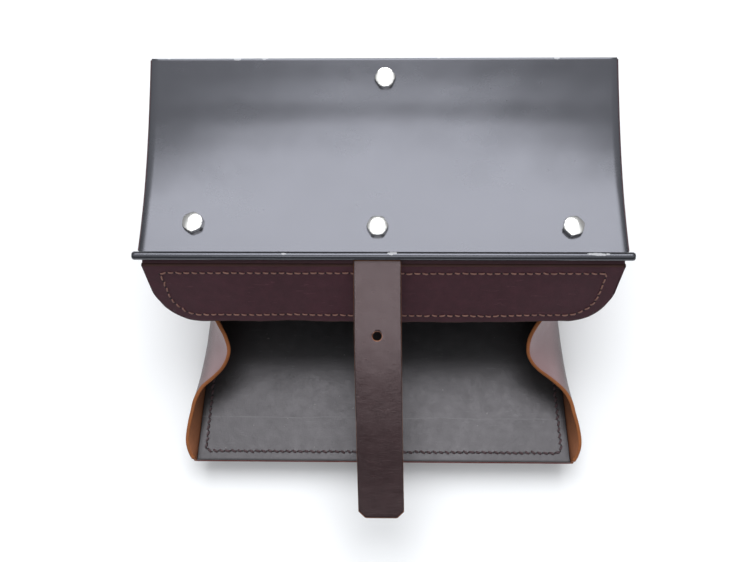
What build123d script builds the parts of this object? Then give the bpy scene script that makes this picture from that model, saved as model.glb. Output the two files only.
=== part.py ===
from build123d import *
import math
import os

os.makedirs("parts", exist_ok=True)

# ---------------------------------------------------------------- sizes, mm
lid_w = 260.0            # width of the steel lid plate
sheet_t = 0.9            # steel sheet
bead_r = 2.3             # rolled front edge, outside radius
wire_r = 1.4             # wire inside the rolled edge
bead_over = 3.0          # rolled edge past the sheet at each side
body_w = 226.0           # width of the leather body at its mouth
base_w = 219.0           # width of the leather body at its bottom
fold_y, fold_z = 108.5, 4.5      # line the front panel folds about
hinge_y, hinge_z = 217.5, 112.0  # line the lid folds about
strap_w = 25.4           # closing strap
strap_x = -2.5           # strap centre line
strap_t = 3.0
strap_hole_r = 2.5
flap_len = 43.4
flap_half_top = 129.5
flap_half_low = 126.0
flap_corner_r = 23.0
screw_r = 2.5
nut_af = 10.4            # dome nut across flats
eye_r = 3.25             # eyelet bore
eye_dx, eye_dz = 150.0, 50.0     # eyelet pattern
eye_z0 = 30.0            # lower eyelet row
y_shift = 93.7           # moves the origin to the middle of the footprint

# top line of the lid plate, (y, z), back to front
plate_line = [(215.7, 115.3), (203.6, 113.0), (191.5, 111.0), (176.7, 108.8),
              (157.4, 106.9), (137.2, 106.1), (117.3, 107.0), (105.1, 108.3)]


def smooth(pts, n=4):
    """More points on a smooth curve through the given ones."""
    q = [pts[0]] + list(pts) + [pts[-1]]
    out = []
    for i in range(1, len(q) - 2):
        p0, p1, p2, p3 = q[i - 1:i + 3]
        for k in range(n):
            t = k / n
            out.append(tuple(0.5 * (2 * b + (c - a) * t + (2 * a - 5 * b + 4 * c - d) * t * t + (3 * b - a - 3 * c + d) * t ** 3)
                             for a, b, c, d in zip(p0, p1, p2, p3)))
    return out + [pts[-1]]


plate_line = smooth(plate_line)


def normals(pts):
    out = []
    for i in range(len(pts)):
        a = pts[max(i - 1, 0)]
        b = pts[min(i + 1, len(pts) - 1)]
        dy, dz = b[0] - a[0], b[1] - a[1]
        n = math.hypot(dy, dz)
        out.append((dz / n, -dy / n))
    return out


def offset_line(pts, d):
    """Shifts a (y, z) line by d to its upper side."""
    return [(p[0] + n[0] * d, p[1] + n[1] * d) for p, n in zip(pts, normals(pts))]


def poly_yz(pts, x0, x1):
    """Extrudes a closed (y, z) outline from x0 to x1."""
    face = make_face(Polyline(*[(0, y, z) for y, z in pts], close=True))
    return Pos(x0, 0, 0) * extrude(face, amount=x1 - x0, dir=(1, 0, 0))


def layer(pts, top, bottom, x0, x1):
    """A bent sheet between two offsets of one line."""
    up = offset_line(pts, top)
    low = offset_line(pts, bottom)
    return poly_yz(up + low[::-1], x0, x1)


def cut_line(pts, y_back, y_front):
    """The stretch of a back-to-front line between two y values."""
    def at(y):
        for a, b in zip(pts, pts[1:]):
            if a[0] >= y >= b[0]:
                f = (a[0] - y) / (a[0] - b[0])
                return (y, a[1] + f * (b[1] - a[1]))
        a, b = (pts[0], pts[1]) if y > pts[0][0] else (pts[-2], pts[-1])
        f = (a[0] - y) / (a[0] - b[0])
        return (y, a[1] + f * (b[1] - a[1]))
    inner = [p for p in pts if y_front + 0.5 < p[0] < y_back - 0.5]
    return [at(y_back)] + inner + [at(y_front)]


def plate_frame(x, y):
    """Plane on the plate's top face, its normal out of the plate."""
    line = plate_line
    for a, b in zip(line, line[1:]):
        if a[0] >= y >= b[0]:
            f = (a[0] - y) / (a[0] - b[0])
            z = a[1] + f * (b[1] - a[1])
            dy, dz = a[0] - b[0], a[1] - b[1]
            n = math.hypot(dy, dz)
            return Plane(origin=(x, y, z), x_dir=(1, 0, 0), z_dir=(0, -dz / n, dy / n))


def disc(frame, r, z0, z1):
    return frame * Pos(0, 0, z0) * Cylinder(r, z1 - z0, align=(Align.CENTER, Align.CENTER, Align.MIN))


def y_tube(x, z, r, y0, y1):
    return Pos(x, y0, z) * Rot(-90, 0, 0) * Cylinder(r, y1 - y0, align=(Align.CENTER, Align.CENTER, Align.MIN))


def x_rod(y, z, r, x0, x1):
    return Pos(x0, y, z) * Rot(0, 90, 0) * Cylinder(r, x1 - x0, align=(Align.CENTER, Align.CENTER, Align.MIN))


def save(shape, node):
    export_step(Pos(0, -y_shift, 0) * shape, "parts/" + node + ".step")


fasteners = [(1.2, 204.0), (-102.0, 120.8), (strap_x, 118.8), (102.0, 118.8)]
frames = [plate_frame(x, y) for x, y in fasteners]

# ---------------------------------------------------------------- lid: steel plate with a wired front edge
bead_y, bead_z = 102.0, 108.8
sheet_line = plate_line + [(102.6, 108.7)]
sheet = layer(sheet_line, 0.0, -sheet_t, -lid_w / 2, lid_w / 2)
bead = x_rod(bead_y, bead_z, bead_r, -lid_w / 2 - bead_over, lid_w / 2 + bead_over)
lid_plate = sheet + bead
lid_plate -= x_rod(bead_y, bead_z, wire_r + 0.02, -lid_w / 2 - 10, lid_w / 2 + 10)
for f in frames:
    lid_plate -= disc(f, screw_r + 0.15, -3, 3)
save(lid_plate, "lid_plate")
save(x_rod(bead_y, bead_z, wire_r, -lid_w / 2 - bead_over, lid_w / 2 + bead_over), "edge_wire")

# ---------------------------------------------------------------- lid: leather under the plate, skived where the strap passes
lea_line = cut_line(plate_line, 215.0, 105.6)
lid_leather = layer(lea_line, -sheet_t - 0.03, -sheet_t - 3.0, -lid_w / 2 - 0.8, lid_w / 2 + 0.8)
lid_leather -= layer(cut_line(plate_line, 219.0, 100.0), -sheet_t + 0.5, -sheet_t - 1.3,
                     strap_x - strap_w / 2 - 0.4, strap_x + strap_w / 2 + 0.4)
for f in frames:
    lid_leather -= disc(f, screw_r + 0.15, -8, 3)
save(lid_leather, "lid_leather")

strap_root = layer(cut_line(plate_line, 213.0, 105.8), -sheet_t - 0.05, -sheet_t - 1.25,
                   strap_x - strap_w / 2, strap_x + strap_w / 2)
for f in (frames[0], frames[2]):
    strap_root -= disc(f, screw_r + 0.15, -8, 3)
save(strap_root, "strap_root")

# ---------------------------------------------------------------- lid fasteners
nuts, screws, washers = [], [], []
for f in frames:
    hexa = extrude(f * Pos(0, 0, 0.25) * RegularPolygon(nut_af / 2, 6, major_radius=False), amount=2.6)
    hexa = hexa & disc(f, 5.75, 0, 9)
    dome = f * Pos(0, 0, -2.1) * Sphere(7.0) & disc(f, 5.05, 2.7, 9)
    nut = hexa + dome
    nut -= disc(f, screw_r + 0.03, -1, 3.3)
    nuts.append(nut)
    under = -sheet_t - 3.0
    washers.append(disc(f, 6.0, under - 1.05, under - 0.05) - disc(f, screw_r + 0.15, -9, 0))
    head = disc(f, 4.4, under - 3.3, under - 1.1) - f * Pos(0, 0, under - 3.4) * Box(6.4, 1.1, 1.2, align=(Align.CENTER, Align.CENTER, Align.MIN))
    screws.append(head + disc(f, screw_r, under - 1.5, 3.0))
save(Compound(children=nuts), "dome_nuts")
save(Compound(children=screws), "lid_screws")
save(Compound(children=washers), "lid_washers")

# ---------------------------------------------------------------- front flap, two layers, hung below the wired edge
flap_plane = Plane(origin=(0, 100.6, 104.4), x_dir=(1, 0, 0), z_dir=(0, -0.831, 0.556))


def flap_layer(n0, n1, inset, top):
    outline = Polyline((-flap_half_top + inset, -top), (flap_half_top - inset, -top),
                       (flap_half_low - inset, -flap_len + inset), (-flap_half_low + inset, -flap_len + inset), close=True)
    face = make_face(outline)
    low = [v for v in face.vertices() if v.Y < -top - 5]
    face = fillet(low, flap_corner_r - inset)
    return extrude(flap_plane * Pos(0, 0, n0) * face, amount=n1 - n0)


save(flap_layer(-0.15, 2.2, 0.0, 3.0), "flap_outer")
save(flap_layer(-2.2, -0.2, 0.15, 3.0), "flap_lining")
stitch = Sketch() + make_face(Polyline((-flap_half_top + 8.6, -6.8), (flap_half_top - 8.6, -6.8), (flap_half_low - 8.6, -flap_len + 5.6),
                              (-flap_half_low + 8.6, -flap_len + 5.6), close=True))
outer_f = fillet([v for v in stitch.vertices() if v.Y < -12], 15.0)
inner_s = Sketch() + make_face(Polyline((-flap_half_top + 9.4, -7.6), (flap_half_top - 9.4, -7.6), (flap_half_low - 9.4, -flap_len + 6.4),
                               (-flap_half_low + 9.4, -flap_len + 6.4), close=True))
inner_f = fillet([v for v in inner_s.vertices() if v.Y < -12], 14.2)
save(extrude(flap_plane * Pos(0, 0, 2.22) * (outer_f - inner_f), amount=0.5), "flap_stitching")


def fp(y, n):
    """(y, z) of a point on the flap plane, y up the flap and n out of it."""
    return (100.6 + 0.556 * y - 0.831 * n, 104.4 + 0.831 * y + 0.556 * n)


flap_fold = poly_yz([(104.9, 105.15), (102.5, 104.8), (99.5, 103.8), fp(-2.7, 1.8), fp(-2.7, -1.9), fp(0.6, -2.0), (104.9, 103.4)],
                    -flap_half_top + 0.5, flap_half_top - 0.5)
save(flap_fold, "flap_fold")

# ---------------------------------------------------------------- closing strap
strap_line = [(97.2, 106.9), (54.5, 91.4), (-12.4, 59.9), (-32.0, 51.3)]
strap = layer(strap_line, 0.0, -strap_t, strap_x - strap_w / 2, strap_x + strap_w / 2)
hole = Plane(origin=(strap_x, 61.8, 94.1), x_dir=(1, 0, 0), z_dir=(0, -0.346, 0.938))
strap -= disc(hole, strap_hole_r, -10, 10)
tip_edges = strap.edges().filter_by(lambda e: abs(e.length - strap_t) < 0.05 and e.center().Y < -30)
strap = chamfer(tip_edges, 3.6)
save(strap, "closing_strap")
strap_neck = poly_yz([(105.0, 106.4), (99.2, 106.4), (98.4, 106.5), (98.7, 105.35), (99.4, 105.3), (105.0, 105.35)],
                     strap_x - strap_w / 2, strap_x + strap_w / 2)
save(strap_neck, "strap_neck")

# ---------------------------------------------------------------- body: front panel, dropped forward
front_line = [(106.6, 8.2), (0.0, 20.0)]
outer_t, lining_t = 2.6, 1.6


def plan(half_mouth, half_fold, y0, y1):
    """Tall prism over a tapered plan, to trim a layer to the panel's outline."""
    face = make_face(Polyline((-half_mouth, y0), (half_mouth, y0), (half_fold, y1), (-half_fold, y1), close=True))
    return Pos(0, 0, -20) * extrude(face, amount=90)


front_outer = layer(front_line, -lining_t - 0.02, -lining_t - outer_t, -body_w / 2 - 2, body_w / 2 + 2) & plan(body_w / 2, base_w / 2, 0 - 0.6, 108)
save(layer(front_line, 0.0, -lining_t, -body_w / 2 - 2, body_w / 2 + 2) & plan(body_w / 2 - 0.3, base_w / 2 - 0.3, 0.0, 108), "front_lining")


def on_front(d, up):
    """(y, z) at a distance d back from the mouth edge, up above the lining."""
    ey, ez = 106.6, -11.8
    n = math.hypot(ey, ez)
    return (d * ey / n - up * ez / n, 20.0 + d * ez / n + up * ey / n)


def front_strip(d0, d1, u0, u1, x0, x1):
    return poly_yz([on_front(d0, u0), on_front(d1, u0), on_front(d1, u1), on_front(d0, u1)], x0, x1)


inset = 5.3
st = front_strip(inset - 0.4, inset + 0.4, 0.02, 0.5, -body_w / 2 + inset - 0.4, body_w / 2 - inset + 0.4)
sides = plan(body_w / 2 - inset + 0.4, base_w / 2 - inset + 0.4, 0.0, 108) - plan(body_w / 2 - inset - 0.4, base_w / 2 - inset - 0.4, -1.0, 109)
st += front_strip(inset, 104.0, 0.02, 0.5, -body_w / 2, body_w / 2) & sides
save(st, "front_stitching")

# ---------------------------------------------------------------- body: bottom, back and their joints
save(poly_yz([(111.0, 0), (215.6, 0), (215.6, 3.0), (111.0, 3.0)], -base_w / 2, base_w / 2), "bottom_panel")
save(poly_yz([(106.9, 3.6), (107.3, 6.3), (110.0, 2.9), (110.9, 2.9), (110.9, 0.3), (109.4, 0.4)], -base_w / 2 + 1, base_w / 2 - 1), "front_fold")

outline = make_face(Polyline((-base_w / 2, 0, 3.05), (base_w / 2, 0, 3.05), (body_w / 2, 0, 107.6), (-body_w / 2, 0, 107.6), close=True))
back = Pos(0, 212.5, 0) * extrude(outline, amount=3.1, dir=(0, 1, 0))
stiff = Pos(0, 215.65, 55.0) * Box(body_w - 16, 1.0, 86.0, align=(Align.CENTER, Align.MIN, Align.CENTER))
stiff = fillet(stiff.edges().filter_by(Axis.Y), 8.0)
eyelets = []
for sx in (-1, 1):
    for k in (0, 1):
        x, z = sx * eye_dx / 2, eye_z0 + k * eye_dz
        back -= y_tube(x, z, 4.05, 200, 230)
        stiff -= y_tube(x, z, 4.05, 200, 230)
        e = y_tube(x, z, 4.0, 211.85, 217.35) + y_tube(x, z, 6.3, 211.85, 212.47) + y_tube(x, z, 6.3, 216.7, 217.35)
        eyelets.append(e - y_tube(x, z, eye_r, 200, 230))
save(back, "back_panel")
save(stiff, "back_stiffener")
save(Compound(children=eyelets), "back_eyelets")
save(poly_yz([(216.8, 88.0), (218.5, 88.0), (218.5, 108.6), (217.9, 109.9), (216.5, 110.4), (211.5, 109.6), (211.6, 108.1), (216.0, 108.5), (216.8, 107.8)],
             -body_w / 2 + 2, body_w / 2 - 2), "lid_hinge_strip")

# ---------------------------------------------------------------- gussets: side webs folded into the mouth
gus_t = 2.2


def tri_solid(front, rear):
    """A closed skin from two matching rows of points per side."""
    faces = []

    def quad(a, b, c, d):
        faces.append(Face(Wire.make_polygon([a, b, c], close=True)))
        faces.append(Face(Wire.make_polygon([a, c, d], close=True)))

    m, n = len(front), len(front[0])
    for i in range(m - 1):
        for j in range(n - 1):
            quad(front[i][j], front[i + 1][j], front[i + 1][j + 1], front[i][j + 1])
            quad(rear[i][j], rear[i][j + 1], rear[i + 1][j + 1], rear[i + 1][j])
    for i in range(m - 1):
        quad(front[i][0], rear[i][0], rear[i + 1][0], front[i + 1][0])
        quad(front[i][n - 1], front[i + 1][n - 1], rear[i + 1][n - 1], rear[i][n - 1])
    for j in range(n - 1):
        quad(front[0][j], front[0][j + 1], rear[0][j + 1], rear[0][j])
        quad(front[m - 1][j], rear[m - 1][j], rear[m - 1][j + 1], front[m - 1][j + 1])
    return Solid(Shell(faces))


# free mouth edge: distance from the front corner along the bag, half width there
mouth_left = [(1.5, 115.0), (6, 117.6), (12, 118.6), (20, 117.0), (27, 114.4), (34, 112.4), (43.5, 108.5), (50, 99.8), (57, 93.3), (65, 90.8), (73, 92.6),
              (80, 96.5), (92, 102.5), (110, 107.0), (130, 110.0), (150, 112.4), (180, 114.6), (207, 114.9)]
mouth_right = [(1.5, 115.0), (6, 117.4), (12, 118.4), (20, 116.6), (27, 114.0), (34, 111.4), (40, 107.4), (46, 100.3), (52, 91.6), (57, 87.0), (62, 85.1),
               (69, 85.8), (76, 89.5), (86, 96.5), (110, 106.0), (130, 110.0), (150, 112.4), (180, 114.6), (207, 114.9)]
t_end = 207.0


def seam(t, t_in):
    """Sewn edge of the web for a mouth position t: along the front panel, the bottom, then up the back. (x, y, z)"""
    side_gap = 0.3 + gus_t / 2
    if t <= t_in:
        y = 1.5 + (fold_y - 3.5) * (t - 1.5) / (t_in - 1.5)
        return ((body_w - (body_w - base_w) * y / 106.6) / 2 + side_gap, y, 16.9 - 0.11 * y)
    run = (t - t_in) / (t_end - t_in) * (104.0 + 100.0)
    if run <= 104.0:
        return (base_w / 2 + side_gap, 108.5 + run, 2.0)
    z = 2.0 + run - 104.0
    return ((base_w + (body_w - base_w) * z / 107.6) / 2 + side_gap, 213.6, z)


def gusset(side, mouth, t_in):
    grid = []
    for t, hw in mouth:
        bx, by, bz = seam(t, t_in)
        mz = min(21.6 + 0.416 * t, 106.8)
        row = []
        for f in (0.0, 0.13, 0.32, 0.52, 0.7, 0.86, 1.0):
            # the web rises from its seam, then leans in to the mouth
            row.append(Vector(side * (bx + (hw - bx) * f * f), by + (t - by) * f, bz + (mz - bz) * f))
        grid.append(row)
    m, n = len(grid), len(grid[0])
    face_a, face_b = [], []
    for i in range(m):
        ra, rb = [], []
        for j in range(n):
            du = grid[min(i + 1, m - 1)][j] - grid[max(i - 1, 0)][j]
            dv = grid[i][min(j + 1, n - 1)] - grid[i][max(j - 1, 0)]
            nn = du.cross(dv).normalized()
            if nn.X * side < 0:
                nn = nn * -1
            if j == 0:
                nn = Vector(side, 0, 0)
            ra.append(grid[i][j] + nn * (gus_t / 2))
            rb.append(grid[i][j] - nn * (gus_t / 2))
        face_a.append(ra)
        face_b.append(rb)
    return tri_solid(face_a, face_b)


save(gusset(-1, mouth_left, 65), "gusset_left")
save(gusset(1, mouth_right, 62), "gusset_right")

# ---------------------------------------------------------------- buckle on the outer face of the front panel
low = -lining_t - outer_t      # outer face of the front panel, measured down from the lining


# chape: a leather tab riveted on, looped round the buckle's bar and slotted for the prong
bar_r = 1.3
py, pz = on_front(47.0, low - 5.0)
chape = front_strip(48.6, 97.0, low - 1.1, low - 3.1, strap_x - 10.5, strap_x + 10.5)
ring = x_rod(py, pz, 3.2, strap_x - 10.5, strap_x + 10.5) - x_rod(py, pz, bar_r + 0.05, strap_x - 11, strap_x + 11)
back_tab = front_strip(48.6, 58.0, low - 5.2, low - 6.9, strap_x - 10.5, strap_x + 10.5)
web = front_strip(48.9, 58.0, low - 3.0, low - 5.3, strap_x - 10.5, strap_x + 10.5)
chape = chape + ring + (web - x_rod(py, pz, bar_r + 0.05, strap_x - 11, strap_x + 11)) + (back_tab - x_rod(py, pz, bar_r + 0.05, strap_x - 11, strap_x + 11))
chape -= Pos(strap_x, py, pz) * Box(5.0, 11.0, 16.0)
rivets = []
for dx in (-5.4, 5.4):
    y, z = on_front(88.0, low)
    fr = Plane(origin=(strap_x + dx, y, z), x_dir=(1, 0, 0), z_dir=(0, -0.1100, -0.9939))
    chape -= disc(fr, 1.55, -9, 9)
    front_outer -= disc(fr, 1.55, -9, 9)
    front_outer -= disc(fr, 3.35, -9, -1.7)
    rivets.append(disc(fr, 1.5, -2.5, 3.6) + disc(fr, 3.2, 3.13, 3.95) + disc(fr, 3.2, -2.5, -1.75))
save(front_outer, "front_outer")
save(chape, "buckle_chape")
save(Compound(children=rivets), "chape_rivets")

# keeper: a flat leather loop for the strap's end
kx0, kx1 = strap_x - 15.6, strap_x + 15.6
keeper = front_strip(62.0, 72.0, low - 0.05, low - 7.6, kx0, kx1) - front_strip(60.0, 74.0, low - 1.05, low - 6.2, kx0 + 1.5, kx1 - 1.5)
save(keeper, "keeper_loop")

# buckle: wire frame, roller and prong
reach = 24.0
rz = 4.65
ry = py - math.sqrt(reach ** 2 - (pz - rz) ** 2)
ux, uz = (ry - py) / reach, (rz - pz) / reach
arm = 14.6
frame_b = x_rod(py, pz, bar_r, strap_x - arm, strap_x + arm) + x_rod(ry, rz, bar_r, strap_x - arm, strap_x + arm)
for s in (-1, 1):
    side = Plane(origin=(strap_x + s * arm, py, pz), x_dir=(1, 0, 0), z_dir=(0, ux, uz))
    frame_b += side * Cylinder(bar_r, reach, align=(Align.CENTER, Align.CENTER, Align.MIN))
    frame_b += Pos(strap_x + s * arm, py, pz) * Sphere(bar_r) + Pos(strap_x + s * arm, ry, rz) * Sphere(bar_r)
save(frame_b, "buckle_frame")
save(x_rod(ry, rz, 2.2, strap_x - 12.6, strap_x + 12.6) - x_rod(ry, rz, bar_r + 0.05, strap_x - 13, strap_x + 13), "buckle_roller")
eye = x_rod(py, pz, 2.5, strap_x - 1.5, strap_x + 1.5)
tongue = poly_yz([(py - 0.8, pz - 1.4), (py - 2.2, pz - 0.6), (ry + 4.0, 2.3), (ry - 3.6, 2.3), (ry - 4.2, 1.6), (ry - 4.2, 0.4), (ry + 2.0, 0.05), (py - 4.0, 1.6)],
                 strap_x - 1.2, strap_x + 1.2)
prong = eye + tongue - x_rod(py, pz, bar_r + 0.05, strap_x - 5, strap_x + 5)
save(prong, "buckle_prong")

print("hinge fold", fold_y - y_shift, fold_z, "lid", hinge_y - y_shift, hinge_z, "bar", py - y_shift, pz, "roller", ry - y_shift, rz)
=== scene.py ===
import bpy
import math
import random
from mathutils import Vector, Matrix


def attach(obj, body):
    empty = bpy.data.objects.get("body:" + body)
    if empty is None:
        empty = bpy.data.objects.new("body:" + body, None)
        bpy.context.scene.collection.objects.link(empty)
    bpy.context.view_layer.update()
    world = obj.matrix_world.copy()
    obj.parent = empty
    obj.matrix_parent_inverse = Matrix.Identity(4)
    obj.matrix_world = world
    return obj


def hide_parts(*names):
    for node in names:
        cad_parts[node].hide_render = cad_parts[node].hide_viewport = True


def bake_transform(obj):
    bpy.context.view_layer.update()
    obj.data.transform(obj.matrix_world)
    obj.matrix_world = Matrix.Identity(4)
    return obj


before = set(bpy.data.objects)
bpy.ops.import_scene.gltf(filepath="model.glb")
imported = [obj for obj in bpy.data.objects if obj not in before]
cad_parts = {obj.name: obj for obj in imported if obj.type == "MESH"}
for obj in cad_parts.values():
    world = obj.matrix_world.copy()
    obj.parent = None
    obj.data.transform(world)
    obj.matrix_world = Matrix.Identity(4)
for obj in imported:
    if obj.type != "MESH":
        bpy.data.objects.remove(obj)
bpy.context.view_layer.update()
SC = bpy.context.scene
YS = 93.7          # work frame to row frame, mm
rnd = random.Random(7)
SKY_TOP, SKY_BACK, SKY_FRONT, SKY_MID, SKY_LOW = 1.0, 6.0, 2.1, 0.18, 0.11


def P(x, y, z):
    return Vector((x / 1000.0, (y - YS) / 1000.0, z / 1000.0))


# ------------------------------------------------------------------ material helpers
class Mat:
    def __init__(self, name):
        self.m = bpy.data.materials.new(name)
        self.m.use_nodes = True
        self.t = self.m.node_tree
        self.b = self.t.nodes["Principled BSDF"]
        self.x = -300

    def new(self, kind, **kw):
        n = self.t.nodes.new(kind)
        self.x -= 40
        n.location = (self.x, 0)
        for k, v in kw.items():
            setattr(n, k, v)
        return n

    def link(self, a, b):
        self.t.links.new(a, b)

    def val(self, sock, v):
        if hasattr(v, "default_value") or hasattr(v, "links"):
            self.link(v, sock)
        else:
            sock.default_value = v

    def math(self, op, a, b=0.0, c=0.0, clamp=False):
        n = self.new("ShaderNodeMath", operation=op, use_clamp=clamp)
        for s, v in zip(n.inputs, (a, b, c)):
            self.val(s, v)
        return n.outputs[0]

    def noise(self, vec, scale, detail=4.0, rough=0.55, dist=0.0):
        n = self.new("ShaderNodeTexNoise")
        self.link(vec, n.inputs["Vector"])
        n.inputs["Scale"].default_value = scale
        n.inputs["Detail"].default_value = detail
        n.inputs["Roughness"].default_value = rough
        n.inputs["Distortion"].default_value = dist
        return n.outputs["Fac"]

    def voronoi(self, vec, scale, feature="DISTANCE_TO_EDGE"):
        n = self.new("ShaderNodeTexVoronoi", feature=feature)
        self.link(vec, n.inputs["Vector"])
        n.inputs["Scale"].default_value = scale
        return n.outputs["Distance"]

    def coords(self, scale=(1, 1, 1), rot=(0, 0, 0)):
        tc = self.new("ShaderNodeTexCoord")
        mp = self.new("ShaderNodeMapping")
        self.link(tc.outputs["Object"], mp.inputs["Vector"])
        mp.inputs["Scale"].default_value = scale
        mp.inputs["Rotation"].default_value = rot
        return mp.outputs["Vector"]

    def ramp(self, fac, stops, interp="LINEAR"):
        n = self.new("ShaderNodeValToRGB")
        n.color_ramp.interpolation = interp
        while len(n.color_ramp.elements) < len(stops):
            n.color_ramp.elements.new(0.5)
        for e, (p, c) in zip(n.color_ramp.elements, stops):
            e.position = p
            e.color = (c[0], c[1], c[2], 1) if not isinstance(c, float) else (c, c, c, 1)
        self.link(fac, n.inputs["Fac"])
        return n.outputs["Color"]

    def mix(self, fac, a, b, blend="MIX"):
        n = self.new("ShaderNodeMix", data_type="RGBA", blend_type=blend)
        self.val(n.inputs[0], fac)
        for s, v in ((n.inputs[6], a), (n.inputs[7], b)):
            if isinstance(v, tuple):
                s.default_value = (v[0], v[1], v[2], 1)
            else:
                self.link(v, s)
        return n.outputs[2]

    def bump(self, height, strength, dist, normal=None):
        n = self.new("ShaderNodeBump")
        n.inputs["Strength"].default_value = strength
        n.inputs["Distance"].default_value = dist
        self.link(height, n.inputs["Height"])
        if normal is not None:
            self.link(normal, n.inputs["Normal"])
        self.link(n.outputs["Normal"], self.b.inputs["Normal"])
        return n.outputs["Normal"]


def lin(r, g, b):
    f = lambda c: ((c / 255.0 + 0.055) / 1.055) ** 2.4 if c > 10 else c / 255.0 / 12.92
    return (f(r), f(g), f(b))


def leather(name, base, dark, rough=0.42, grain=1.0, spec=0.5, coat=0.0, scuff=0.25, stretch=(1, 1, 1), wear=(0, 0, 0), wear_amt=0.0, painted_mouth_sheen=False, crease=False, tint=None, rim=None):
    m = Mat(name)
    c = m.coords(stretch)
    big = m.noise(c, 22, 5, 0.6)
    mid = m.noise(c, 160, 4, 0.6)
    col = m.mix(m.math("MULTIPLY", big, 1.0), dark, base)
    col = m.mix(m.math("MULTIPLY", m.math("SUBTRACT", mid, 0.42), 0.8, clamp=True), col, tuple(min(1, v * 1.5) for v in base))
    # fine scratches and rubs in the finish
    sc = m.noise(m.coords((30, 260, 60), (0.1, 0.05, 0.5)), 3.2, 3, 0.5, 0.3)
    scm = m.ramp(sc, [(0.0, 0.0), (0.66, 0.0), (0.70, 1.0), (0.72, 0.0), (1.0, 0.0)])
    col = m.mix(m.math("MULTIPLY", scm, scuff), col, tuple(min(1, v * 2.6 + 0.012) for v in base))
    if wear_amt:
        col = m.mix(m.math("MULTIPLY", m.ramp(big, [(0.45, 0.0), (0.75, 1.0)]), wear_amt), col, wear)
    if tint:
        m.b.inputs["Specular Tint"].default_value = (*tint, 1)
    if rim:
        # bare leather showing round the punched hole
        vd = m.new("ShaderNodeVectorMath", operation="DISTANCE")
        m.link(m.coords((1, 1, 1)), vd.inputs[0])
        vd.inputs[1].default_value = rim
        rr = m.ramp(m.math("ADD", m.math("MULTIPLY", vd.outputs["Value"], 200.0), m.math("MULTIPLY", mid, 0.10)), [(0.0, 1.0), (0.57, 1.0), (0.64, 0.0), (1.0, 0.0)])
        col = m.mix(m.math("MULTIPLY", rr, 0.85), col, lin(150, 96, 66))
    if painted_mouth_sheen:
        # painted sheen: the gusset face is made paler towards the bent-in mouth edges, standing in for the light band
        # on the fold
        sx = m.new("ShaderNodeSeparateXYZ")
        m.link(c, sx.inputs[0])
        ax = m.math("ABSOLUTE", sx.outputs[0])
        mr = m.new("ShaderNodeMapRange", interpolation_type="SMOOTHSTEP")
        m.link(m.math("ADD", ax, m.math("MULTIPLY", big, 0.006)), mr.inputs["Value"])
        mr.inputs["From Min"].default_value = 0.1165
        mr.inputs["From Max"].default_value = 0.1035
        mr.inputs["To Min"].default_value = 0.0
        mr.inputs["To Max"].default_value = 1.0
        col = m.mix(m.math("MULTIPLY", mr.outputs["Result"], 0.80), col, lin(142, 116, 118))
    if crease:
        sy = m.new("ShaderNodeSeparateXYZ")
        m.link(c, sy.inputs[0])
        dy = m.math("ABSOLUTE", m.math("ADD", m.math("SUBTRACT", sy.outputs[1], (26.0 - YS) / 1000.0), m.math("MULTIPLY", m.math("SUBTRACT", big, 0.5), 0.004)))
        cm = m.math("MULTIPLY", m.math("LESS_THAN", dy, 0.00032), m.math("SUBTRACT", mid, 0.30, clamp=True))
        col = m.mix(m.math("MULTIPLY", cm, 0.65), col, (0.14, 0.14, 0.145))
        dust = m.ramp(m.noise(m.coords((1, 1, 1), (0.2, 0.1, 0.9)), 420, 2, 0.5), [(0.0, 0.0), (0.74, 0.0), (0.78, 1.0)])
        col = m.mix(m.math("MULTIPLY", dust, 0.35), col, (0.20, 0.19, 0.18))
    m.link(col, m.b.inputs["Base Color"])
    r = m.math("ADD", rough - 0.10, m.math("MULTIPLY", mid, 0.22))
    m.link(r, m.b.inputs["Roughness"])
    m.b.inputs["Specular IOR Level"].default_value = spec
    m.b.inputs["Coat Weight"].default_value = coat
    m.b.inputs["Coat Roughness"].default_value = 0.3
    pores = m.voronoi(c, 900)
    pr = m.ramp(pores, [(0.0, 0.0), (0.09, 1.0)])
    fine = m.noise(c, 1500, 2, 0.5)
    h = m.math("ADD", m.math("MULTIPLY", pr, 0.35), m.math("MULTIPLY", fine, 0.5))
    n1 = m.bump(h, 0.22 * grain, 0.00025)
    m.bump(m.noise(c, 55, 4, 0.6), 0.25 * grain, 0.0012, n1)
    return m


def edge_leather(name, a, b):
    """Raw cut edge or flesh side: fibrous, matt."""
    m = Mat(name)
    c = m.coords((1, 1, 1))
    n1 = m.noise(c, 260, 5, 0.7)
    n2 = m.noise(m.coords((1, 1, 4)), 60, 3, 0.6)
    col = m.mix(m.math("MULTIPLY", m.math("ADD", n1, n2), 0.5), a, b)
    m.link(col, m.b.inputs["Base Color"])
    m.b.inputs["Roughness"].default_value = 0.78
    m.b.inputs["Specular IOR Level"].default_value = 0.3
    m.bump(m.noise(c, 1400, 4, 0.7), 0.5, 0.0003)
    return m


def metal(name, col, rough, bump=0.05, scale=300, var=0.04):
    m = Mat(name)
    m.b.inputs["Base Color"].default_value = (*col, 1)
    m.b.inputs["Metallic"].default_value = 1.0
    c = m.coords()
    n = m.noise(c, scale, 3, 0.6)
    spg = m.new("ShaderNodeTexVoronoi", feature="F1")
    m.link(c, spg.inputs["Vector"])
    spg.inputs["Scale"].default_value = 190
    f = m.math("ADD", m.math("MULTIPLY", m.noise(c, 40, 5, 0.65), 0.6), m.math("MULTIPLY", spg.outputs["Distance"], 0.5))
    m.link(m.mix(f, col, tuple(v * (1 - var) for v in col)), m.b.inputs["Base Color"])
    m.link(m.math("ADD", rough, m.math("MULTIPLY", n, 0.10)), m.b.inputs["Roughness"])
    m.bump(n, bump, 0.0002)
    return m


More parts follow.
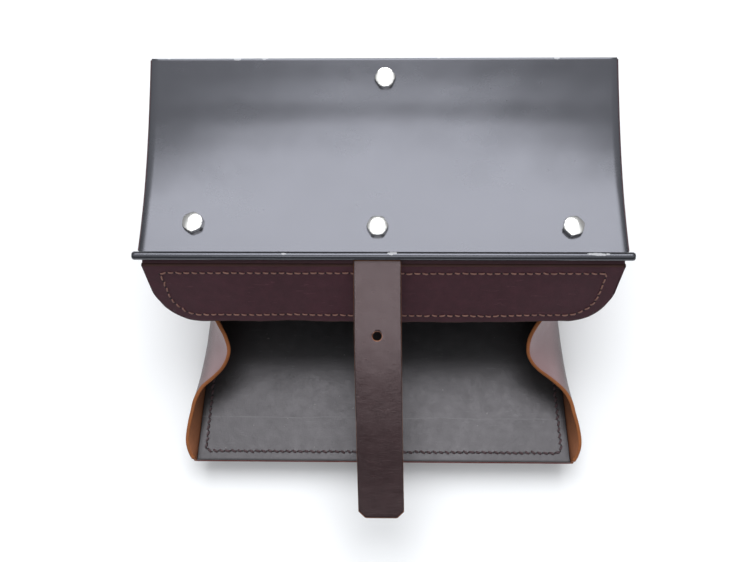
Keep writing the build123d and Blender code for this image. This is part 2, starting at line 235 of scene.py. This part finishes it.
def thread_mat(name, a, b):
    m = Mat(name)
    c = m.coords((1, 1, 1))
    w = m.new("ShaderNodeTexWave", wave_type="BANDS", bands_direction="DIAGONAL")
    m.link(c, w.inputs["Vector"])
    w.inputs["Scale"].default_value = 900
    w.inputs["Distortion"].default_value = 1.0
    n = m.noise(c, 90, 3, 0.6)
    m.link(m.mix(n, a, b), m.b.inputs["Base Color"])
    m.b.inputs["Roughness"].default_value = 0.6
    m.bump(w.outputs["Fac"], 0.5, 0.0002)
    return m


M_STRAP = leather("strap_leather", lin(40, 23, 25), lin(25, 15, 16), rough=0.21, scuff=0.3, spec=0.70, tint=(1.0, 0.81, 0.83), rim=(-0.0025, -0.0319, 0.094))
M_FLAP = leather("flap_leather", lin(70, 40, 48), lin(48, 27, 33), rough=0.46, scuff=0.2, spec=0.14)
M_FLAPBACK = edge_leather("flap_back", lin(92, 60, 46), lin(64, 38, 32))
M_BODY = leather("body_leather", lin(62, 40, 42), lin(40, 26, 28), rough=0.42, spec=0.36, tint=(1.0, 0.86, 0.88))
# the gusset face carries a painted sheen, a paler lilac band near the bent-in mouth edges
M_GUS = leather("gusset_face_with_painted_sheen", lin(62, 40, 42), lin(42, 27, 29), rough=0.36, spec=0.8, painted_mouth_sheen=True, tint=(1.0, 0.84, 0.87))
M_LIN = leather("lining_leather", (0.017, 0.017, 0.018), (0.009, 0.009, 0.0095), rough=0.385, scuff=0.5, spec=0.62, crease=True, tint=(1.0, 0.95, 1.0))
M_EDGE = edge_leather("raw_edge_tan", lin(156, 94, 50), lin(96, 55, 31))
M_FLESH = edge_leather("flesh_side", lin(166, 108, 74), lin(118, 74, 52))
M_REDEDGE = edge_leather("red_edge", lin(122, 62, 58), lin(84, 42, 42))
M_DARKEDGE = edge_leather("stained_edge", lin(72, 44, 38), lin(42, 28, 26))
M_STRAPEDGE = edge_leather("strap_edge", lin(138, 90, 62), lin(76, 48, 38))
M_THREAD = thread_mat("thread_tan", lin(146, 106, 92), lin(92, 62, 56))
M_THREADD = thread_mat("thread_dark", lin(78, 58, 62), lin(50, 36, 40))
M_NICKEL = metal("nickel", (0.95, 0.94, 0.92), 0.16, 0.02)
M_STEEL = metal("zinc_steel", (0.50, 0.50, 0.515), 0.30, 0.1, var=0.34)

# gloss black stove enamel with a few chips along its far edge and rubs on the bead
EN = Mat("black_enamel")
c_ = EN.coords()
n_ = EN.noise(c_, 14, 4, 0.6)
base = EN.mix(n_, (0.0135, 0.0140, 0.0165), (0.022, 0.0228, 0.0262))
sep = EN.new("ShaderNodeSeparateXYZ")
EN.link(c_, sep.inputs[0])


def spot(m, sepn, noise, x, y, rx, ry):
    """1 inside a ragged ellipse about a point on the plate, work frame mm."""
    dx = m.math("DIVIDE", m.math("SUBTRACT", sepn.outputs[0], x / 1000.0), rx / 1000.0)
    dy = m.math("DIVIDE", m.math("SUBTRACT", sepn.outputs[1], (y - YS) / 1000.0), ry / 1000.0)
    r = m.math("ADD", m.math("MULTIPLY", dx, dx), m.math("MULTIPLY", dy, dy))
    r = m.math("ADD", r, m.math("MULTIPLY", m.math("SUBTRACT", noise, 0.5), 3.2))
    return m.math("LESS_THAN", r, 0.8)


chipn = EN.noise(c_, 700, 3, 0.6)
mask = None
for (x, y, rx, ry) in ((-81.7, 215.4, 2.6, 0.9), (-66.4, 215.5, 2.2, 0.8), (96.8, 215.3, 1.6, 0.8), (-120, 215.6, 1.0, 0.5), (31, 215.6, 0.9, 0.5),
                       (5.8, 103.0, 2.8, 1.1), (113.0, 102.6, 6.5, 0.9), (-52, 102.5, 1.6, 0.6)):
    q = spot(EN, sep, chipn, x, y, rx, ry)
    mask = q if mask is None else EN.math("MAXIMUM", mask, q)
smear = EN.ramp(EN.noise(EN.coords((1, 1.6, 1)), 26, 5, 0.65), [(0.55, 0.0), (0.78, 1.0)])
base = EN.mix(EN.math("MULTIPLY", smear, 0.2), base, (0.045, 0.046, 0.050))
base = EN.mix(EN.math("MULTIPLY", mask, 0.8), base, (0.42, 0.42, 0.43))
EN.link(base, EN.b.inputs["Base Color"])
ro = EN.math("ADD", 0.10, EN.math("MULTIPLY", EN.noise(c_, 45, 5, 0.65), 0.12))
ro = EN.math("ADD", ro, EN.math("MULTIPLY", smear, 0.03))
EN.link(EN.math("ADD", ro, EN.math("MULTIPLY", mask, 0.3)), EN.b.inputs["Roughness"])
EN.b.inputs["IOR"].default_value = 1.66
EN.b.inputs["Specular Tint"].default_value = (0.88, 0.89, 1.0, 1)
EN.bump(EN.noise(c_, 30, 3, 0.5), 0.05, 0.0012)


# ------------------------------------------------------------------ mesh helpers
def make(name, verts, faces, mats, fmat, body=None, smooth=True, uv=None):
    me = bpy.data.meshes.new(name)
    me.from_pydata([tuple(v) for v in verts], [], faces)
    me.validate()
    for m in mats:
        me.materials.append(m.m)
    for p, k in zip(me.polygons, fmat):
        p.material_index = k
        p.use_smooth = smooth
    me.update()
    o = bpy.data.objects.new(name, me)
    SC.collection.objects.link(o)
    if body:
        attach(o, body)
    return o


def grid_normals(g):
    m, n = len(g), len(g[0])
    out = []
    for i in range(m):
        row = []
        for j in range(n):
            du = g[min(i + 1, m - 1)][j] - g[max(i - 1, 0)][j]
            dv = g[i][min(j + 1, n - 1)] - g[i][max(j - 1, 0)]
            nn = du.cross(dv)
            row.append(nn.normalized() if nn.length > 1e-12 else Vector((0, 0, 1)))
        out.append(row)
    return out


def sheet_from_grid(name, g, t0, t1, mats, body=None, edge_r=None, flip=False, fmat_rule=None):
    """A closed sheet between offsets t0 (back) and t1 (front) of a grid, in metres, with rounded rims. mats: face, back, edge."""
    N = grid_normals(g)
    if flip:
        N = [[-v for v in r] for r in N]
    m, n = len(g), len(g[0])
    th = t1 - t0
    er = th * 0.42 if edge_r is None else edge_r
    verts, faces, fm = [], [], []

    # boundary loop indices
    loop = [(0, j) for j in range(n)] + [(i, n - 1) for i in range(1, m)] + [(m - 1, j) for j in range(n - 2, -1, -1)] + [(i, 0) for i in range(m - 2, 0, -1)]
    # outward direction at each boundary point
    outd = {}
    L = len(loop)
    for k, (i, j) in enumerate(loop):
        a = g[loop[k - 1][0]][loop[k - 1][1]]
        b = g[loop[(k + 1) % L][0]][loop[(k + 1) % L][1]]
        tdir = (b - a)
        o = tdir.cross(N[i][j])
        ci, cj = min(max(i, 1), m - 2), min(max(j, 1), n - 2)
        inward = g[ci][cj] - g[i][j]
        if o.dot(inward) > 0:
            o = -o
        outd[(i, j)] = o.normalized() if o.length > 1e-12 else -inward.normalized()

    def idx(side, i, j):
        return side * m * n + i * n + j

    for side, off in ((0, t1), (1, t0)):
        for i in range(m):
            for j in range(n):
                p = g[i][j] + N[i][j] * off
                if (i, j) in outd:
                    p = p - outd[(i, j)] * er
                verts.append(p)
    for i in range(m - 1):
        for j in range(n - 1):
            q = [idx(0, i, j), idx(0, i + 1, j), idx(0, i + 1, j + 1), idx(0, i, j + 1)]
            faces.append(q if not flip else q[::-1])
            fm.append(0)
            q = [idx(1, i, j), idx(1, i, j + 1), idx(1, i + 1, j + 1), idx(1, i + 1, j)]
            faces.append(q if not flip else q[::-1])
            fm.append(1)
    # rim, a rounded section
    segs = 4
    rings = []
    for s in range(1, segs + 2):
        a = math.pi / 2 * (s / (segs + 1)) if False else 0
    prof = []
    for s in range(1, 4):
        a = math.pi / 2 * s / 3
        prof.append((math.sin(a), 1 - math.cos(a), 0))
    # front rounding then back rounding
    ring_list = []
    for (o, d, _) in prof:
        ring_list.append((o, "f", d))
    for (o, d, _) in prof[::-1]:
        ring_list.append((o, "b", d))
    base_idx = len(verts)
    for (o, which, d) in ring_list:
        for (i, j) in loop:
            if which == "f":
                off = t1 - er * d
            else:
                off = t0 + er * d
            verts.append(g[i][j] + N[i][j] * off - outd[(i, j)] * er * (1 - o))
    prev = [idx(0, i, j) for (i, j) in loop]
    for r in range(len(ring_list)):
        cur = [base_idx + r * L + k for k in range(L)]
        for k in range(L):
            k2 = (k + 1) % L
            q = [prev[k], prev[k2], cur[k2], cur[k]]
            faces.append(q[::-1] if not flip else q)
            fm.append(2)
        prev = cur
    cur = [idx(1, i, j) for (i, j) in loop]
    for k in range(L):
        k2 = (k + 1) % L
        q = [prev[k], prev[k2], cur[k2], cur[k]]
        faces.append(q[::-1] if not flip else q)
        fm.append(2)
    o = make(name, verts, faces, mats, fm, None)
    bm_fix(o)
    if body:
        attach(o, body)
    return o


def bm_fix(o):
    import bmesh
    bm = bmesh.new()
    bm.from_mesh(o.data)
    bmesh.ops.remove_doubles(bm, verts=bm.verts, dist=1e-7)
    bmesh.ops.recalc_face_normals(bm, faces=bm.faces)
    bm.to_mesh(o.data)
    bm.free()


def resample(pts, step):
    """Evenly spaced points, tangents and normals along [(point, normal)]."""
    out = []
    carry = 0.0
    for (a, na), (b, nb) in zip(pts, pts[1:]):
        L = (b - a).length
        if L < 1e-9:
            continue
        d = (b - a) / L
        s = -carry
        while True:
            s2 = s + step if out or s < 0 else 0.0
            if not out and s2 == 0.0:
                out.append((a.copy(), d, na))
                s = 0.0
                continue
            if s2 > L:
                carry = L - s
                break
            f = s2 / L
            out.append((a + d * s2, d, (na * (1 - f) + nb * f).normalized()))
            s = s2
    return out


# near-black disc material for the stitch holes: painted shade standing in for the hollow of each hole
M_HOLE_SHADE = Mat("stitch_hole_painted_shade")
M_HOLE_SHADE.b.inputs["Base Color"].default_value = (0.006, 0.005, 0.005, 1)
M_HOLE_SHADE.b.inputs["Roughness"].default_value = 0.9


def stitches(name, path, pitch, length, rad, mat, body, skew=0.10):
    """Lock stitches: a row of short twisted-thread bars, sunk at both ends. path is [(point, normal)] in metres."""
    st = resample(path, pitch)
    verts, faces = [], []
    NS, NR = 7, 7
    for (p, d, n) in st:
        a = rnd.gauss(skew, 0.11)
        side = d.cross(n).normalized()
        dd = (d * math.cos(a) + side * math.sin(a)).normalized()
        ss = dd.cross(n).normalized()
        ln = length * rnd.uniform(0.86, 1.10)
        p = p + side * rnd.gauss(0, 0.00012)
        b0 = len(verts)
        for i in range(NR + 1):
            f = i / NR
            u = -1 + 2 * f
            # thread dives into the leather at its ends
            h = rad * (0.75 - 1.75 * abs(u) ** 3.2)
            rr = rad * (1 - 0.35 * abs(u) ** 4)
            c = p + dd * (u * ln / 2) + n * h
            for k in range(NS):
                t = 2 * math.pi * k / NS
                verts.append(c + ss * (rr * math.cos(t)) + n * (rr * 0.85 * math.sin(t)))
        for i in range(NR):
            for k in range(NS):
                a0 = b0 + i * NS + k
                a1 = b0 + i * NS + (k + 1) % NS
                faces.append([a0, a1, a1 + NS, a0 + NS])
        faces.append([b0 + k for k in range(NS)][::-1])
        faces.append([b0 + NR * NS + k for k in range(NS)])
    nf = len(faces)
    for (p, d, n) in st:
        # the awl hole each pair of stitches shares, drawn as a flat near-black disc: painted shade for the inside of
        # the hole
        side = d.cross(n).normalized()
        q = p + d * (pitch / 2)
        b0 = len(verts)
        verts.append(q + n * 0.00004)
        for k in range(8):
            t = 2 * math.pi * k / 8
            verts.append(q + d * (0.00042 * math.cos(t)) + side * (0.00062 * math.sin(t)) + n * 0.00004)
        for k in range(8):
            faces.append([b0, b0 + 1 + k, b0 + 1 + (k + 1) % 8])
    o = make(name, verts, faces, [mat, M_HOLE_SHADE], [0] * nf + [1] * (len(faces) - nf))
    if body:
        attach(o, body)
    return o


def frange(a, b, n):
    return [a + (b - a) * i / n for i in range(n + 1)]


def cat(pts, n=8):
    """Catmull-Rom through tuples of numbers."""
    out = []
    q = [pts[0]] + list(pts) + [pts[-1]]
    for i in range(1, len(q) - 2):
        p0, p1, p2, p3 = q[i - 1:i + 3]
        for k in range(n):
            t = k / n
            out.append(tuple(0.5 * ((2 * b) + (-a + c) * t + (2 * a - 5 * b + 4 * c - d) * t * t + (-a + 3 * b - 3 * c + d) * t ** 3)
                             for a, b, c, d in zip(p0, p1, p2, p3)))
    out.append(tuple(pts[-1]))
    return out


def wob(x, y, s=1.0):
    return s * (math.sin(x * 0.031 + 1.3) * 0.5 + math.sin(x * 0.083 + y * 0.05 + 0.4) * 0.28 + math.sin(x * 0.19 - y * 0.11) * 0.12)


# ------------------------------------------------------------------ flap
FO = Vector((0, 100.6, 104.4))
FN = Vector((0, -0.831, 0.556))
FU = Vector((0, 0.556, 0.831))
FLAP_L, HT, HB, CR = 43.4, 129.5, 126.0, 23.0


def flap_pt(x, v, n):
    """x across, v down the flap from the fold, n out."""
    q = FO - FU * v + FN * n
    return P(x, q.y, q.z)


def flap_grid(inset, top, wavy=1.0):
    hb, L, r = HB - inset, FLAP_L - inset, CR - inset
    us = []
    for s in frange(-1, 1, 96):
        us.append(s)
    # extra columns around the corners
    extra = [1 - (1 - math.cos(a)) * r / hb for a in [math.radians(d) for d in range(4, 90, 5)]]
    us = sorted(set([round(u, 5) for u in us] + [round(e, 5) for e in extra] + [round(-e, 5) for e in extra]))
    g = []
    for u in us:
        ax = abs(u) * hb
        if ax > hb - r:
            dx = ax - (hb - r)
            vb = L - r + math.sqrt(max(0.0, r * r - dx * dx))
        else:
            vb = L
        row = []
        for k in range(19):
            v = top + (vb - top) * k / 18
            half = HT + (HB - HT) * min(1, v / 29.0) - inset
            x = u * half
            n = wavy * wob(x, v, 0.9) * (v / L) ** 1.3
            row.append(flap_pt(x, v + wavy * (0.25 * math.sin(x * 0.05) + 0.20 * math.sin(x * 0.17 + 0.8) + 0.08 * math.sin(x * 0.61)) * (v / L) ** 2, n))
        g.append(row)
    return g


g = flap_grid(0.0, 1.2)
flap_o = sheet_from_grid("flap_outer_leather", g, -0.00015, 0.0022, [M_FLAP, M_FLAPBACK, M_DARKEDGE], "flap", flip=True)
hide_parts("flap_outer")
flap_l = sheet_from_grid("flap_lining_leather", flap_grid(0.2, 1.2), -0.0022, -0.0002, [M_FLAP, M_FLAPBACK, M_DARKEDGE], "flap", flip=True)
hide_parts("flap_lining")


def flap_path(si, top, low, r):
    pts = []
    hb = HB - si
    def add(x, v):
        half = HT + (HB - HT) * min(1, v / 29.0)
        xx = x * (half - si) / hb
        n = 2.2 + wob(xx, v, 0.9) * (v / FLAP_L) ** 1.3
        pts.append((flap_pt(xx, v + 0.25 * math.sin(xx * 0.05) * (v / FLAP_L), n), FN.copy()))
    rt = 2.2
    for x in frange(hb - rt, -hb + rt, 120):
        add(x, top)
    for a in frange(0, 90, 6):
        add(-hb + rt - rt * math.sin(math.radians(a)), top + rt - rt * math.cos(math.radians(a)))
    for v in frange(top + rt, low - r, 8):
        add(-hb, v)
    for a in frange(0, 90, 12):
        add(-hb + r - r * math.cos(math.radians(a)), low - r + r * math.sin(math.radians(a)))
    for x in frange(-hb + r, hb - r, 120):
        add(x, low)
    for a in frange(0, 90, 12):
        add(hb - r + r * math.sin(math.radians(a)), low - r + r * math.cos(math.radians(a)))
    for v in frange(low - r, top + rt, 8):
        add(hb, v)
    for a in frange(0, 90, 6):
        add(hb - rt + rt * math.cos(math.radians(a)), top + rt - rt * math.sin(math.radians(a)))
    return pts


st1 = stitches("flap_stitches", flap_path(8.6, 6.8, 37.8, 15.0), 0.0043, 0.0036, 0.00046, M_THREAD, "flap")
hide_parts("flap_stitching")

# ------------------------------------------------------------------ strap
SX, SW, ST = -2.5, 25.4, 3.0
sl = cat([(100.6, 108.1), (97.2, 106.9), (86.0, 102.9), (54.5, 91.2), (20.0, 75.6), (-12.4, 59.9), (-32.0, 51.2)], 14)
cum = [0.0]
for a, b in zip(sl, sl[1:]):
    cum.append(cum[-1] + math.hypot(b[0] - a[0], b[1] - a[1]))
SL = cum[-1]


def strap_at(s):
    for k in range(len(sl) - 1):
        if cum[k + 1] >= s or k == len(sl) - 2:
            f = (s - cum[k]) / (cum[k + 1] - cum[k])
            a, b = sl[k], sl[k + 1]
            return a[0] + (b[0] - a[0]) * f, a[1] + (b[1] - a[1]) * f


cols = [-1, -0.985, -0.96, -0.93, -0.89, -0.85, -0.8, -0.72] + frange(-0.64, 0.64, 14) + [0.72, 0.8, 0.85, 0.89, 0.93, 0.96, 0.985, 1]
g = []
for u in cols:
    ax = abs(u) * SW / 2
    end = SL - max(0.0, ax - (SW / 2 - 3.8))
    row = []
    for k in range(71):
        f = k / 70
        s = end * f
        y, z = strap_at(s)
        row.append(P(SX + 2.3 * (s / SL) ** 1.5 + u * SW / 2, y, z + 0.25 * (1 - u * u) * math.sin(f * 3.1) - ST / 2))
    g.append(row)
strap = sheet_from_grid("closing_strap_leather", g, -ST / 2000, ST / 2000, [M_STRAP, M_DARKEDGE, M_STRAPEDGE], None, edge_r=0.0006, flip=True)
hy, hz = 61.8, 94.0
bpy.ops.mesh.primitive_cylinder_add(vertices=40, radius=0.0025, depth=0.02, location=P(SX, hy, hz), rotation=(math.radians(20.4), 0, 0))
cutter = bpy.context.object
mod = strap.modifiers.new("hole", "BOOLEAN")
mod.object = cutter
mod.operation = "DIFFERENCE"
mod.solver = "EXACT"
bpy.context.view_layer.objects.active = strap
dg = bpy.context.evaluated_depsgraph_get()
nm = bpy.data.meshes.new_from_object(strap.evaluated_get(dg))
strap.modifiers.clear()
strap.data = nm
bpy.data.objects.remove(cutter)
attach(strap, "strap")
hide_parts("closing_strap")

# ------------------------------------------------------------------ leather strip the lid turns on
hs = [(217.65, 88.0 + 0.9 * k) for k in range(20)] + [(217.65, 105.8), (217.6, 106.7), (217.45, 107.5), (217.1, 108.25), (216.6, 108.8), (215.9, 109.1), (215.0, 109.15), (214.1, 109.05), (213.2, 108.97), (212.3, 108.9), (211.5, 108.85)]
g = []
for x in frange(-111, 111, 60):
    g.append([P(x, y + 0.06 * wob(x, z * 2.0) * min(1.0, max(0.0, (107.5 - z) / 5.0)), z) for (y, z) in hs])
hinge = sheet_from_grid("lid_hinge_leather", g, -0.0008, 0.0008, [M_BODY, M_FLAPBACK, M_DARKEDGE], None, edge_r=0.0004, flip=True)
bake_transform(hinge)
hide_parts("lid_hinge_strip")

# ------------------------------------------------------------------ lid plate and its wired edge
pl = cat([(215.7, 115.3), (203.6, 113.0), (191.5, 111.0), (176.7, 108.8), (157.4, 106.9), (137.2, 106.1), (117.3, 107.0), (105.1, 108.3), (102.6, 108.7)], 6)
g = []
for x in frange(-130, 130, 64):
    g.append([P(x, y, z - 0.45 + 0.05 * wob(x * 1.1, y * 1.2)) for (y, z) in pl])
plate = sheet_from_grid("lid_plate_steel", g, -0.00045, 0.00045, [EN, EN, EN], "lid", edge_r=0.00038)
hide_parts("lid_plate")
verts, faces = [], []
xs = [-132.7, -133.0, -133.0, -132.6, -132.0] + frange(-131, 131, 90) + [132.0, 132.6, 133.0, 133.0, 132.7]
rs = [1.45, 1.5, 1.75, 2.12, 2.28] + [2.3] * 91 + [2.28, 2.12, 1.75, 1.5, 1.45]
NK = 28
for x, r in zip(xs, rs):
    w = 1 + 0.012 * wob(x * 4.0, 0.0)
    for k in range(NK):
        t = 2 * math.pi * k / NK
        verts.append(P(x, 102.0 + r * w * math.cos(t), 108.8 + 0.08 * wob(x, 5.0) + r * w * math.sin(t)))
for i in range(len(xs) - 1):
    for k in range(NK):
        k2 = (k + 1) % NK
        faces.append([i * NK + k, i * NK + k2, (i + 1) * NK + k2, (i + 1) * NK + k])
bead = make("lid_wired_edge", verts, faces, [EN], [0] * len(faces))
bm_fix(bead)
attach(bead, "lid")
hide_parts("lid_plate")

# ------------------------------------------------------------------ dome nuts
def nut(name, x, y, turn):
    k = min(range(len(pl) - 1), key=lambda i: abs(pl[i][0] - y))
    dy, dz = pl[k][0] - pl[k + 1][0], pl[k][1] - pl[k + 1][1]
    z = pl[k][1] + (y - pl[k][0]) * dz / dy
    n = Vector((0, -dz, dy)).normalized()
    ax = Vector((1, 0, 0))
    ay = n.cross(ax)
    NA = 96
    prof = [(5.55, 0.22), (5.85, 0.45), (5.85, 2.2), (5.66, 2.75)]
    R = 15.0
    for r in (5.35, 5.0, 4.4, 3.6, 2.7, 1.8, 0.9):
        prof.append((r, 2.95 + math.sqrt(R * R - r * r) - math.sqrt(R * R - 5.35 ** 2)))
    verts, faces = [], []
    for (r, h) in prof:
        for i in range(NA):
            t = 2 * math.pi * i / NA
            tt = (t % (math.pi / 3)) - math.pi / 6
            rr = min(r, 5.24 / math.cos(tt))
            q = ax * (rr * math.cos(t + turn)) + ay * (rr * math.sin(t + turn)) + n * h
            verts.append(P(x + q.x, y + q.y, z + q.z))
    top = len(verts)
    q = n * (2.95 + R - math.sqrt(R * R - 5.35 ** 2))
    verts.append(P(x + q.x, y + q.y, z + q.z))
    m = len(prof)
    for a in range(m - 1):
        for i in range(NA):
            j = (i + 1) % NA
            faces.append([a * NA + i, a * NA + j, (a + 1) * NA + j, (a + 1) * NA + i])
    for i in range(NA):
        faces.append([(m - 1) * NA + i, (m - 1) * NA + (i + 1) % NA, top])
    faces.append([i for i in range(NA)][::-1])
    o = make(name, verts, faces, [M_NICKEL], [0] * len(faces))
    o.data.set_sharp_from_angle(angle=math.radians(28))
    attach(o, "lid")
    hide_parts("dome_nuts")
    return o


nut("dome_nut_back", 1.2, 204.0, 0.10)
nut("dome_nut_left", -102.0, 120.8, 0.42)
nut("dome_nut_middle", -2.5, 118.8, 0.02)
nut("dome_nut_right", 102.0, 118.8, 0.25)

# ------------------------------------------------------------------ front panel, two layers
BW, BB = 113.0, 109.5


def half_at(y):
    return BW + (BB - BW) * y / 106.6


def front_z(x, y):
    e = max(0.0, 1 - y / 60.0)
    return 20.0 - 0.1107 * y + 0.35 * wob(x * 0.7, y * 0.8) * (1 - 0.6 * e) + 0.5 * e * math.sin(x * 0.021 + 0.6)


def panel_grid(over, inset_x):
    g = []
    for u in frange(-1, 1, 72):
        row = []
        for k in range(45):
            y = -over + (106.6 + over) * (k / 44) ** 1.15
            h = half_at(max(y, 0)) - inset_x
            row.append(P(u * h, y, front_z(u * h, max(y, 0))))
        g.append(row)
    return g


lining = sheet_from_grid("front_lining_leather", panel_grid(0.0, 0.3), -0.0016, 0.0, [M_LIN, M_FLESH, M_LIN], "front", edge_r=0.0006)
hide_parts("front_lining")
outerp = sheet_from_grid("front_outer_leather", panel_grid(0.55, -0.1), -0.0042, -0.00162, [M_FLESH, M_BODY, M_REDEDGE], "front", edge_r=0.0009)
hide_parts("front_outer")
path = []
ins = 5.3
UPN = Vector((0, 0.11, 0.994))
for y in frange(104, ins + 4, 60):
    path.append((P(-half_at(y) + ins, y, front_z(-half_at(y) + ins, y)), UPN))
for a in frange(0, 90, 5):
    x = -half_at(5) + ins + 3.5 - 3.5 * math.cos(math.radians(a)); y = ins + 3.5 - 3.5 * math.sin(math.radians(a))
    path.append((P(x, y, front_z(x, y)), UPN))
for x in frange(-half_at(5) + ins + 4, half_at(5) - ins - 4, 80):
    path.append((P(x, ins, front_z(x, ins)), UPN))
for a in frange(0, 90, 5):
    x = half_at(5) - ins - 3.5 + 3.5 * math.sin(math.radians(a)); y = ins + 3.5 - 3.5 * math.cos(math.radians(a))
    path.append((P(x, y, front_z(x, y)), UPN))
for y in frange(ins + 4, 104, 60):
    path.append((P(half_at(y) - ins, y, front_z(half_at(y) - ins, y)), UPN))
st2 = stitches("front_stitches", path, 0.0037, 0.0036, 0.00066, M_THREADD, "front", skew=0.36)
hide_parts("front_stitching")

# ------------------------------------------------------------------ gussets
GT = 2.2
mouth_left = [(0.8, 114.0), (5, 116.9), (11, 118.0), (20, 116.4), (27, 114.4), (34, 112.2), (41, 107.8), (47, 100.4), (53, 94.4), (61, 91.0), (69, 92.6),
              (76, 96.4), (88, 102.5), (110, 107.0), (130, 110.0), (150, 112.4), (180, 114.6), (207, 114.9)]
mouth_right = [(0.8, 114.0), (5, 116.9), (11, 118.0), (20, 116.2), (27, 113.8), (34, 111.4), (40, 107.4), (46, 100.3), (52, 91.6), (57, 87.0), (62, 85.1),
               (69, 85.8), (76, 89.5), (86, 96.5), (110, 106.0), (130, 110.0), (150, 112.4), (180, 114.6), (207, 114.9)]


def seam(t, t_in):
    gap = 0.12 + GT / 2
    if t <= t_in:
        y = 0.6 + 105.9 * (t - 1.5) / (t_in - 1.5)
        return (half_at(y) + gap, y, 14.2 - 0.11 * y)
    run = (t - t_in) / (207.0 - t_in) * 204.0
    if run <= 104.0:
        return (BB + gap, 108.5 + run, 1.6)
    z = run - 102.0
    return (BB + 3.5 * z / 107.6 + gap, 213.6, z)


def gusset(name, side, mouth, t_in, node):
    g = []
    for (t, hw) in cat(mouth, 6):
        bx, by, bz = seam(t, t_in)
        mz = min(21.6 + 0.416 * t, 106.8)
        row = []
        for k in range(23):
            f = k / 22
            row.append(P(side * (bx + (hw - bx) * f * f + 0.12 * wob(t * 2, f * 40)), by + (t - by) * f, bz + (mz - bz) * f))
        g.append(row)
    N = grid_normals(g)
    flip = N[len(g) // 3][11].x * side < 0
    o = sheet_from_grid(name, g, -GT / 2000, GT / 2000, [M_GUS, M_FLESH, M_EDGE], None, edge_r=0.0007, flip=flip)
    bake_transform(o)
    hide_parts(node)
    return o


gusset("gusset_left_leather", -1, mouth_left, 62, "gusset_left")
gusset("gusset_right_leather", 1, mouth_right, 62, "gusset_right")

# ------------------------------------------------------------------ paint the CAD nodes that show as they are
paint = {
    "lid_plate": EN, "edge_wire": M_STEEL, "lid_leather": M_FLAP, "strap_root": M_STRAP, "dome_nuts": M_NICKEL, "lid_screws": M_STEEL,
    "lid_washers": M_STEEL, "flap_fold": M_FLAP, "strap_neck": M_STRAP, "front_outer": M_BODY, "front_lining": M_LIN, "front_fold": M_BODY,
    "bottom_panel": M_BODY, "back_panel": M_BODY, "back_stiffener": M_STEEL, "back_eyelets": M_NICKEL, "lid_hinge_strip": M_FLAP,
    "gusset_left": M_GUS, "gusset_right": M_GUS, "buckle_chape": M_STRAP, "keeper_loop": M_STRAP, "chape_rivets": M_NICKEL,
    "buckle_frame": M_NICKEL, "buckle_roller": M_NICKEL, "buckle_prong": M_NICKEL, "front_stitching": M_THREADD, "flap_stitching": M_THREAD,
}
for n, m in paint.items():
    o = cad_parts[n]
    o.data.materials.clear()
    o.data.materials.append(m.m)

# ------------------------------------------------------------------ stage, light, camera
bpy.ops.mesh.primitive_plane_add(size=6, location=(0, 0, -0.0002))
floor = bpy.context.object
floor.name = "floor"
fm = Mat("paper")
fm.b.inputs["Base Color"].default_value = (0.79, 0.795, 0.805, 1)
fm.b.inputs["Roughness"].default_value = 0.9
floor.data.materials.append(fm.m)

W = bpy.data.worlds.new("studio")
SC.world = W
W.use_nodes = True
wt = W.node_tree
bg = wt.nodes["Background"]


def wnode(kind, **kw):
    n = wt.nodes.new(kind)
    for k, v in kw.items():
        setattr(n, k, v)
    return n


def lobe(direction, lo, hi, gain):
    """Soft round patch of sky about a direction; lo and hi are cosines."""
    v = Vector(direction).normalized()
    dt = wnode("ShaderNodeVectorMath", operation="DOT_PRODUCT")
    wt.links.new(gen, dt.inputs[0])
    dt.inputs[1].default_value = v
    mr = wnode("ShaderNodeMapRange", interpolation_type="SMOOTHERSTEP")
    wt.links.new(dt.outputs["Value"], mr.inputs["Value"])
    mr.inputs["From Min"].default_value = lo
    mr.inputs["From Max"].default_value = hi
    mr.inputs["To Min"].default_value = 0.0
    mr.inputs["To Max"].default_value = gain
    return mr.outputs["Result"]


gen = wnode("ShaderNodeTexCoord").outputs["Generated"]
parts = [lobe((0, 0, 1), 0.66, 0.93, SKY_TOP), lobe((0, 0.53, 0.848), 0.908, 0.943, SKY_BACK), lobe((0, -0.46, 0.888), 0.957, 0.989, SKY_FRONT), lobe((0, 0, 1), -0.1, 0.6, SKY_MID)]
total = None
for p in parts:
    if total is None:
        total = p
    else:
        ad = wnode("ShaderNodeMath", operation="ADD")
        wt.links.new(total, ad.inputs[0])
        wt.links.new(p, ad.inputs[1])
        total = ad.outputs[0]
ad = wnode("ShaderNodeMath", operation="ADD")
wt.links.new(total, ad.inputs[0])
ad.inputs[1].default_value = SKY_LOW
bg.inputs["Color"].default_value = (0.97, 0.985, 1.0, 1)
wt.links.new(ad.outputs[0], bg.inputs["Strength"])

cam = bpy.data.cameras.new("camera")
cam.sensor_width = 36.0
cam.lens = 38.53
cam.clip_start = 0.01
co = bpy.data.objects.new("camera", cam)
SC.collection.objects.link(co)
co.location = P(5.4, -21.5, 515.3)
co.rotation_euler = (Matrix.Rotation(math.radians(15.12), 3, "X") @ Matrix.Rotation(math.radians(1.22), 3, "Y") @ Matrix.Rotation(math.radians(0.15), 3, "Z")).to_euler()
SC.camera = co
SC.view_settings.view_transform = "Standard"
SC.view_settings.look = "None"
SC.view_settings.exposure = 0.0
